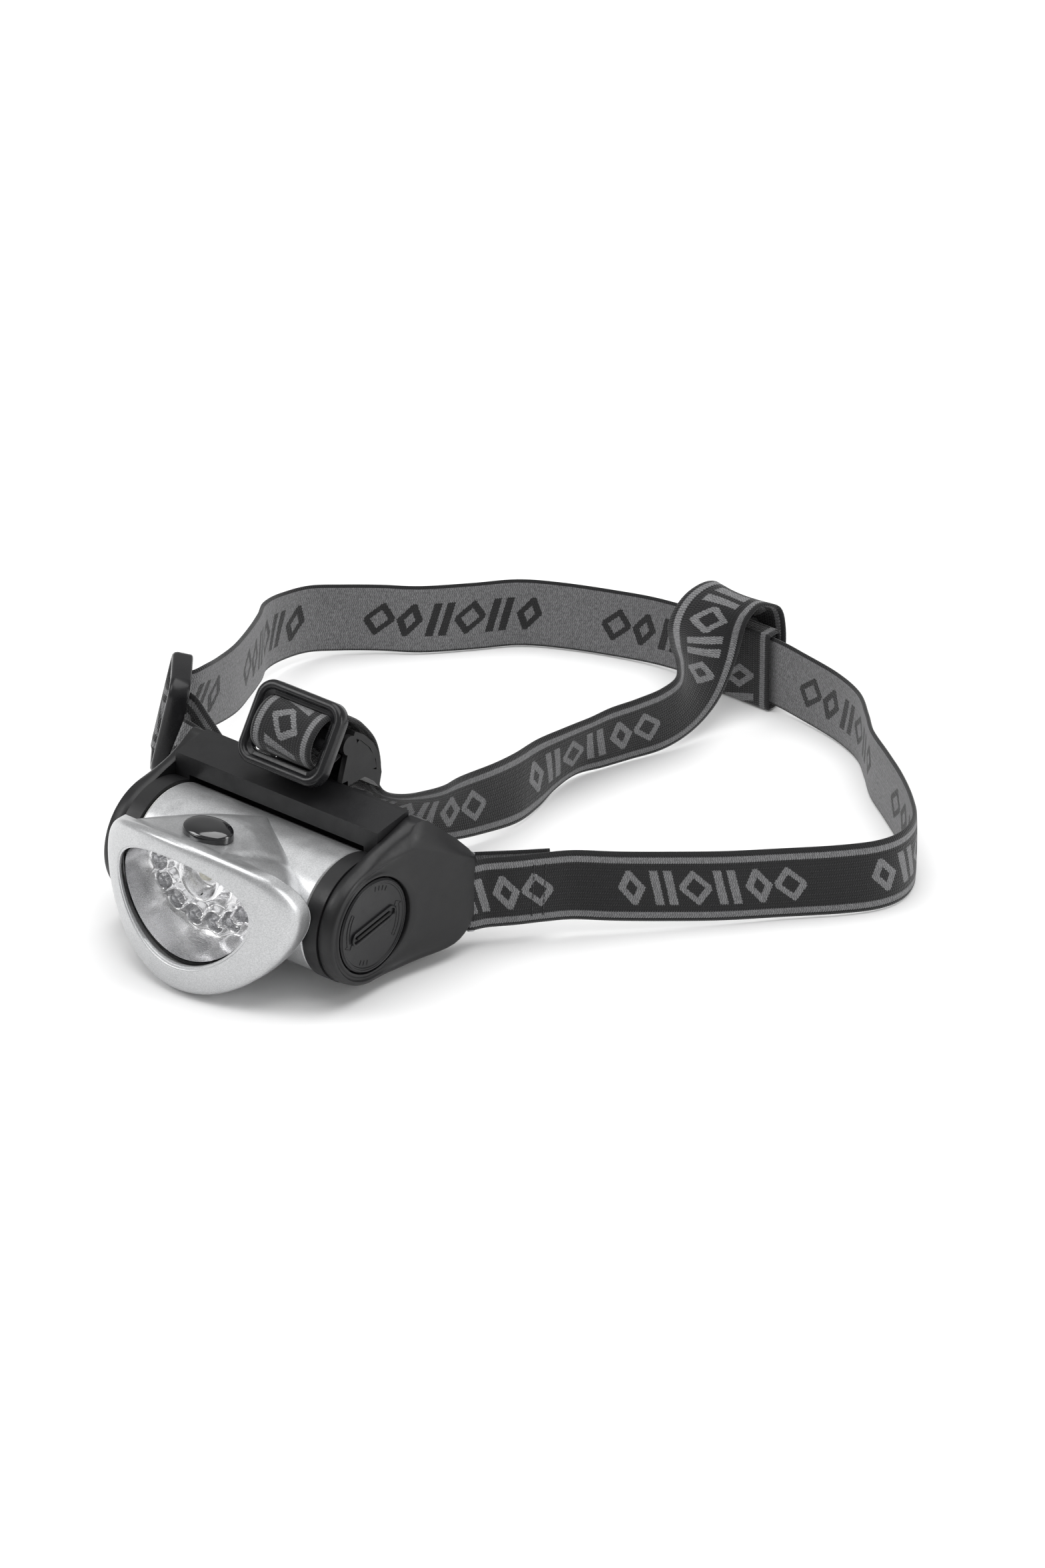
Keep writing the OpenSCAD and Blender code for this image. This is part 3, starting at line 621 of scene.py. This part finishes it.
# ---------------------------------------------------------------- bracket and guides
def slope_wall(co):
    """The rear wall's top edge falls towards both arms."""
    x, y, z = co[:, 0], co[:, 1], co[:, 2]
    high = (y > 20.2) & (z > 38)
    co[:, 2] = np.where(high, np.minimum(z, 41.2 - 0.62 * np.maximum(np.abs(x) - 18, 0)), z)
    return co


dress("bracket", BLACK, "bracket", 0.45, 3, 28, slope_wall)


def outline(circles, n=132):
    """Distance from the cap's axis to the convex outline round some circles, for n directions."""
    pts = np.array([(y + r * math.cos(q), z + r * math.sin(q) - AXIS_Z) for y, z, r in circles
                    for q in np.linspace(0, 2 * math.pi, 90, endpoint=False)])
    out = []
    for q in np.linspace(0, 2 * math.pi, n, endpoint=False):
        d = np.array([math.cos(q), math.sin(q)])
        best = 1e9
        for w in np.linspace(q - 1.45, q + 1.45, 59):
            m = np.array([math.cos(w), math.sin(w)])
            best = min(best, (pts @ m).max() / (d @ m))
        out.append(best)
    return np.array(out)


def cheek(side, name, nodes):
    """Cheek moulding: a ring round the cap that flares into a teardrop face over the strap pin."""
    n = 132
    q = np.linspace(0, 2 * math.pi, n, endpoint=False)
    base = outline([(0, AXIS_Z, 16.3), (24.2, 14.9, 11.6), (18.5, 38.5, 3.2), (33.2, 25.6, 2.4)])
    face = outline([(0, AXIS_Z, 15.9), (24.2, 14.9, 11.0), (14, 35.2, 1.6), (33.2, 25.0, 1.8)])

    def ring(r, lift, x=None):
        y, z = r * np.cos(q), AXIS_Z + r * np.sin(q)
        t = np.clip((y - 3) / 29, 0, 1)
        front = 38.5 + 4.4 * t * t * (3 - 2 * t)
        return np.stack([np.full(n, x) if x is not None else front + lift, y, z], 1)

    rings = [ring(np.full(n, 12.9), 0, 34.0), ring(base - 0.3, 0, 34.0), ring(base, 0, 34.4),
             ring(base, -2.4), ring(base * 0.6 + face * 0.4, -1.3), ring(base * 0.2 + face * 0.8, -0.45),
             ring(face - 0.4, -0.1), ring(face - 1.0, 0.0)]
    for k in (0.15, 0.32, 0.5, 0.68, 0.82, 0.92):
        rings.append(ring((face - 1.0) * (1 - k) + 13.5 * k, 0.0 - 0.5 * math.sin(math.pi * k)))
    rings += [ring(np.full(n, 13.3), -0.02), ring(np.full(n, 13.0), -0.15), ring(np.full(n, 12.9), -0.5)]
    v, f = loft(rings, closed=True)
    v = v * np.array([side, 1, 1])
    return piece(name, v, f, BLACK, "bracket", nodes, flat_angle=48)


cheek(1, "right_cheek", ["right_cheek_cover"])
cheek(-1, "left_cheek", ["left_cheek_cover"])
dress("crown_post", BLACK, "bracket", 0.3, 3, 28)


def tri_glide(name, centre, spin, nodes, thick=1.0):
    """Slide buckle with a rounded frame and a round bar, in its own plane (a along, b across)."""
    spin = np.asarray(spin, float)

    def rounded(w, h, r, n=12):
        pts = []
        for cx, cy, a0 in ((w / 2 - r, h / 2 - r, 0), (-w / 2 + r, h / 2 - r, 90),
                           (-w / 2 + r, -h / 2 + r, 180), (w / 2 - r, -h / 2 + r, 270)):
            pts += [(cx + r * math.cos(math.radians(a0 + 90 * i / n)),
                     cy + r * math.sin(math.radians(a0 + 90 * i / n)))
                    for i in range(n + 1)]
        return np.array(pts)

    rings = []
    outer, inner = rounded(28.2, 22.2, 4.8), rounded(21, 14.8, 2.0)
    for k, z in ((0, -1.3), (0.0, 1.2), (0.06, 1.75), (0.2, 2.1), (0.42, 2.15), (0.56, 1.9), (0.62, 1.35),
                 (0.68, 1.05), (0.94, 1.0), (1, 0.8), (1, -0.8), (0.93, -1.3), (0.75, -1.7), (0.2, -1.75),
                 (0.05, -1.6)):
        rings.append(np.column_stack([outer + k * (inner - outer), np.full(len(outer), z)]))
    frame_part = loft(rings, closed=True)
    bar = []
    for x in np.linspace(-10.8, 10.8, 9):
        bar.append([(x, 1.38 * math.cos(a), 1.35 * math.sin(a))
                    for a in np.linspace(0, 2 * math.pi, 20, endpoint=False)])
    v, f = join(frame_part, loft(bar))
    v = (v * (1, 1, thick)) @ spin.T + np.asarray(centre, float)
    return piece(name, v, f, BUCKLE, "bracket", nodes, flat_angle=50)


def turn(axis, deg):
    a = math.radians(deg)
    c, s = math.cos(a), math.sin(a)
    return np.array({"x": [[1, 0, 0], [0, c, -s], [0, s, c]], "z": [[c, -s, 0], [s, c, 0], [0, 0, 1]]}[axis])


tri_glide("crown_slide", (0, 14, 55.1), turn("x", 57.4), ["crown_buckle"])
tri_glide("side_slide", (-68, 43.2, 25.8), turn("z", -50) @ turn("x", 77) @ turn("z", 90), ["side_buckle"],
          thick=1.4)

# forehead pad: crowned foam with rounded rims
pad_rings = []
for i in range(41):
    a = -24.4 + 48.8 * i / 40
    e = min(1, (24.4 - abs(a)) / 2.2)
    e = math.sqrt(max(1 - (1 - e) ** 2, 0.02))
    ring = []
    for b in np.linspace(0, 2 * math.pi, 40, endpoint=False):
        cz, cr = math.sin(b), math.cos(b)
        z = 20 + 14 * e ** 0.3 * math.copysign(abs(cz) ** 0.28, cz)
        r = 68 + 1.95 * e * math.copysign(abs(cr) ** 0.4, cr)
        r += 0.16 * math.sin(a * 0.55) * math.sin(z * 0.4) * (cr < 0)
        ring.append((r * math.sin(math.radians(a)), 90 - r * math.cos(math.radians(a)), z))
    pad_rings.append(ring)
v, f = loft(pad_rings)
pad = piece("forehead_foam", v, f, FOAM, "bracket", ["forehead_pad"])

# ---------------------------------------------------------------- straps
PROFILE = [(-10.0, 0.0), (-9.85, 0.36), (-9.3, 0.56)] + [(w, 0.62) for w in (-7, -4.5, -2, 0, 2, 4.5, 7)] + \
          [(9.3, 0.56), (9.85, 0.36), (10.0, 0.0)]


def strap(name, centres, across, nodes, outer_sign=1, wave=0.22, cup=0.12, width=1.0,
          inner=None):
    """Webbing along a smooth path. The inner face has its own weave unless inner gives another."""
    c = smooth_path(centres, 7)
    a = smooth_path(across, 7)
    a /= np.linalg.norm(a, axis=1)[:, None]
    d = np.gradient(c, axis=0)
    d /= np.linalg.norm(d, axis=1)[:, None]
    a -= d * np.sum(a * d, axis=1)[:, None]
    a /= np.linalg.norm(a, axis=1)[:, None]
    n = np.cross(d, a) * outer_sign
    run = np.concatenate([[0], np.cumsum(np.linalg.norm(np.diff(c, axis=0), axis=1))])
    prof = [(w * width, t) for w, t in PROFILE] + [(w * width, -t) for w, t in PROFILE[-2:0:-1]]
    m = len(prof)
    verts, uv = [], []
    for i in range(len(c)):
        for w, t in prof:
            ripple = wave * (abs(w) / 10) ** 2 * math.sin(run[i] / 9.5 + (1.3 if w > 0 else 0)) * 0.6
            verts.append(c[i] + a[i] * w + n[i] * (t + ripple - cup * (w / 10) ** 2))
            uv.append((run[i], w))
    faces, mats = [], []
    half = len(PROFILE) - 1
    for i in range(len(c) - 1):
        for j in range(m):
            q = (i * m + j, i * m + (j + 1) % m, (i + 1) * m + (j + 1) % m, (i + 1) * m + j)
            faces.append(q if outer_sign < 0 else q[::-1])
            mats.append(0 if j < half else 1)
    faces += [tuple(range(m)), tuple((len(c) - 1) * m + j for j in range(m - 1, -1, -1))]
    mats += [0, 0]
    piece(name, verts, faces, [STRAP_OUT, inner or STRAP_IN], "bracket", nodes, uv, mats)
    return c, a, n, run


MAIN_ROUTE = [
    (52.2, 51.8, 4.6), (47.4, 46.2, 4.8), (42.6, 41, 5), (39, 37.4, 5), (37.9, 35.4, 5), (38.6, 33.5, 5),
    (40.3, 32.9, 5), (42.1, 33.6, 5), (44, 37.2, 5), (48.8, 43.4, 4.8), (52.6, 49.4, 4.5), (57, 56, 4),
    (64, 63.4, 3), (73, 73, 2), (83, 84, 1), (93, 96, 0.4), (103, 107.4, 0.2), (108.6, 116, 0), (110, 124, 0),
    (107, 132.4, 0), (100, 140, 0), (91, 147.4, 0), (81, 154.4, 0), (70.6, 161.6, 0), (63.4, 168.6, 0),
    (55, 176, 0), (44, 180.8, 0), (30, 183.4, 0.4), (21, 184.1, 1.1), (10, 184.4, 1.1), (0, 184.6, 1.1),
    (-18, 183.6, 0.4), (-32, 180, 0), (-46, 174.4, 0), (-56, 168.4, 0), (-64, 158.6, 0), (-73, 148, 0.2),
    (-81.6, 141, 0.6), (-89, 134, 1), (-94.2, 126, 2), (-95.4, 116.4, 3), (-93, 107.4, 4.6), (-88, 99.6, 6),
    (-82, 89, 8), (-75.6, 76, 10.4), (-71.8, 64, 12.6, 0.3), (-69.5, 55, 15, 0.8), (-69.2, 50, 15.6, 1),
    (-70.8, 46.6, 15.8, 1), (-71, 42.4, 15.8, 1), (-68.6, 39.6, 15.8, 1), (-65.2, 39.8, 15.4, 1),
    (-62.5, 41, 14.6, 0.8), (-57, 40.5, 11.5, 0.4), (-50, 39.6, 7.5), (-45, 39.2, 5.6), (-41.4, 38, 5),
    (-38.2, 36.4, 5), (-38.4, 33.8, 5), (-40.3, 32.9, 5), (-42.4, 34, 5), (-46.4, 36.4, 6.6), (-54, 36, 9.6),
    (-60, 34.6, 12)]
TOP_ROUTE = [
    (0, 20.6, 49.4), (0, 17, 48.4), (0, 13.2, 48.2), (0, 10.7, 50.2), (0, 9.2, 53.6), (0, 10.3, 57.4),
    (0, 13.4, 60.2), (0, 17.2, 61.0), (0, 21.5, 60), (0, 25.7, 57.4), (0, 29.6, 54), (0, 34, 48),
    (0, 35.8, 41), (0, 36, 34, -0.1, 0.2), (0.6, 41, 26.6, -0.3, 0.7), (2.4, 50, 19.6, -0.35, 1, 0.7),
    (5, 61, 14.6, -0.2, 1, 0.35), (6.4, 71, 12.4, 0.1, 1, 0.16), (8, 81, 11.4, 0.12, 1, 0.05),
    (8.6, 91, 10.6, 0.05, 1, -0.05), (7.4, 101, 10.2, 0, 1, 0), (6.6, 111, 10.1, 0, 1, 0.2),
    (6.8, 120, 10.1, -0.1, 1, 0.3), (8.6, 128, 10.1, -0.1, 1, 0.2), (11, 136, 10.2, 0, 1, 0.2),
    (13.6, 145, 10.6, -0.1, 1, 0.1), (14.4, 153, 12.2, -0.3, 1, 0), (12.4, 160.4, 15.4, -0.6, 0.9, -0.3),
    (8.6, 167.4, 19.6, -0.6, 0.6, -0.7), (5.4, 173.4, 24.2, -0.35, 0.3, -1), (5, 179, 27.8, -0.1, 0.1, -1),
    (6.6, 184.6, 29, 0, 0, -1), (8.6, 188.4, 26, 0, 0, -1), (10, 188.8, 21, 0, 0, -1),
    (10.4, 188, 12, 0, 0, -1), (10.4, 187.5, 7, 0, 0, -1), (10.4, 187.5, 3, 0, 0, -1)
]

main_c = [(p[0], p[1], p[2] + 10) for p in MAIN_ROUTE]
main_a = [(0.18 * (p[3] if len(p) > 3 else 0), 0.15 * (p[3] if len(p) > 3 else 0), 1) for p in MAIN_ROUTE]
mc, ma, mn, mrun = strap("head_strap", main_c, main_a, ["main_strap"], outer_sign=1)
top_c = [p[:3] for p in TOP_ROUTE]
top_a = [(p[5] if len(p) > 5 else 1.0, p[3] if len(p) > 3 else 0.0, p[4] if len(p) > 4 else 0.0)
         for p in TOP_ROUTE]
tc, ta, tn, trun = strap("crown_strap", top_c, top_a, ["top_strap"], outer_sign=1, wave=0.15,
                            inner=STRAP_OUT)


def stitch_rows(c, a, n, run, starts, side=1, half=7.6, pitch=1.7):
    """Rows of short thread stitches across the webbing."""
    parts = []
    for s in starts:
        i = int(np.argmin(abs(run - s)))
        w = -half
        while w + pitch * 0.72 < half:
            p = c[i] + n[i] * side * 0.66
            parts.append(rod(p + a[i] * w, p + a[i] * (w + pitch * 0.72), 0.16, 6))
            w += pitch
    return parts


def at_point(c, run, p):
    return run[int(np.argmin(np.linalg.norm(c - np.asarray(p, float), axis=1)))]


u0 = at_point(mc, mrun, (52.6, 49.4, 14.5))
rows = stitch_rows(mc, ma, mn, mrun, [u0 - 3, u0 + 0.4])
rows += stitch_rows(mc, ma, mn, mrun, [u0 - 3, u0 + 0.4], -1)
rows += stitch_rows(tc, ta, tn, trun, [trun[-1] - 3, trun[-1] - 8], -1)
rows += stitch_rows(tc, ta, tn, trun, [1.0, 3.0])
v, f = join(*rows)
piece("strap_stitches", v, f, THREAD, "bracket")

# keeper loop sewn from the same webbing
path = [(10.2, 186.4, 11.3), (10.2, 186.4, 21.2), (10.2, 185.6, 22.1), (10.2, 184.2, 22.25),
        (10.2, 182.8, 22.1), (10.2, 182.0, 21.2), (10.2, 182.0, 11.3), (10.2, 182.0, 1.4),
        (10.2, 182.8, 0.6), (10.2, 184.2, 0.42), (10.2, 185.6, 0.6), (10.2, 186.4, 1.4), (10.2, 186.4, 10.9)]


def keeper():
    c = smooth_path(path, 5)
    d = np.gradient(c, axis=0)
    d /= np.linalg.norm(d, axis=1)[:, None]
    a = np.tile([1.0, 0, 0], (len(c), 1))
    n = np.cross(d, a)
    run = np.concatenate([[0], np.cumsum(np.linalg.norm(np.diff(c, axis=0), axis=1))])
    prof = [(w, 0.36 * t / 0.62) for w, t in PROFILE] + [(w, -0.36 * t / 0.62) for w, t in PROFILE[-2:0:-1]]
    m = len(prof)
    verts = [c[i] + a[i] * w * 0.98 + n[i] * t for i in range(len(c)) for w, t in prof]
    uv = [(run[i] + 40, w) for i in range(len(c)) for w, t in prof]
    faces = [(i * m + j, (i + 1) * m + j, (i + 1) * m + (j + 1) % m, i * m + (j + 1) % m)
             for i in range(len(c) - 1) for j in range(m)]
    faces += [tuple(range(m - 1, -1, -1)), tuple((len(c) - 1) * m + j for j in range(m))]
    return verts, faces, uv


v, f, uv = keeper()
piece("keeper_loop", v, f, [STRAP_OUT], "bracket", ["strap_keeper"], uv)

# ---------------------------------------------------------------- looks of the pieces that stay as they are
LOOKS = {
    "strap_pins": STEEL, "cheek_screws": STEEL, "click_spring": STEEL, "battery_tube": CAP,
    "friction_washers": NYLON, "lens_gasket": RUBBER, "led_board": BOARD, "board_screws": STEEL,
    "switch": BLACK, "battery_carrier": BLACK, "aaa_cells": CELL, "contact_spring": BRASS,
    "lead_wires": WIRE, "cap_gasket": RED_RUBBER, "cap_contact": BRASS,
}
for name, mat in LOOKS.items():
    ob = frame["nodes"][name]
    for s in ob.material_slots:
        s.material = mat

# ---------------------------------------------------------------- stage, light and camera
def plain(name, colour, rough):
    return moulded(name, colour, tuple(min(1, c * 1.02) for c in colour), rough, grain=30, depth=0.0,
                   strength=0.0)


me = bpy.data.meshes.new("floor")
me.from_pydata([(-4, -4, -0.0004), (4, -4, -0.0004), (4, 4, -0.0004), (-4, 4, -0.0004)], [], [(0, 1, 2, 3)])
me.materials.append(plain("floor_paper", (0.93, 0.93, 0.93), 0.9))
floor = bpy.data.objects.new("floor", me)
bpy.context.scene.collection.objects.link(floor)

sky = bpy.data.worlds.new("studio")
sky.use_nodes = True
sky.node_tree.nodes["Background"].inputs[0].default_value = (1, 1, 1, 1)
sky.node_tree.nodes["Background"].inputs[1].default_value = STUDIO_STRENGTH
bpy.context.scene.world = sky
bpy.context.scene.view_settings.view_transform = "Standard"


def softbox(name, at, size, power, aim=(0, 40, 20)):
    light = bpy.data.lights.new(name, "AREA")
    light.shape = "RECTANGLE"
    light.size, light.size_y = size
    light.energy = power
    ob = bpy.data.objects.new(name, light)
    bpy.context.scene.collection.objects.link(ob)
    ob.location = Vector(world(at))
    ob.rotation_euler = (Vector(world(aim)) - ob.location).to_track_quat("-Z", "Y").to_euler()


softbox("overhead", (0, 100, 1500), (1.6, 1.6), 24)
softbox("key", (-700, -600, 700), (0.5, 0.5), 4)
softbox("rim", (900, 300, 260), (0.3, 0.8), 4)

az, el = math.radians(40), math.radians(28.4)
away = np.array([math.sin(az) * math.cos(el), -math.cos(az) * math.cos(el), math.sin(el)])
lens = bpy.data.cameras.new("camera")
lens.sensor_fit = "VERTICAL"
lens.sensor_height = 36
lens.sensor_width = 24
lens.lens = 194.68
lens.clip_end = 50
camera = bpy.data.objects.new("camera", lens)
bpy.context.scene.collection.objects.link(camera)
camera.location = Vector(world((1252.963, -1389.518, 1057.424)))
camera.rotation_euler = Vector(-away).to_track_quat("-Z", "Y").to_euler()
bpy.context.scene.camera = camera
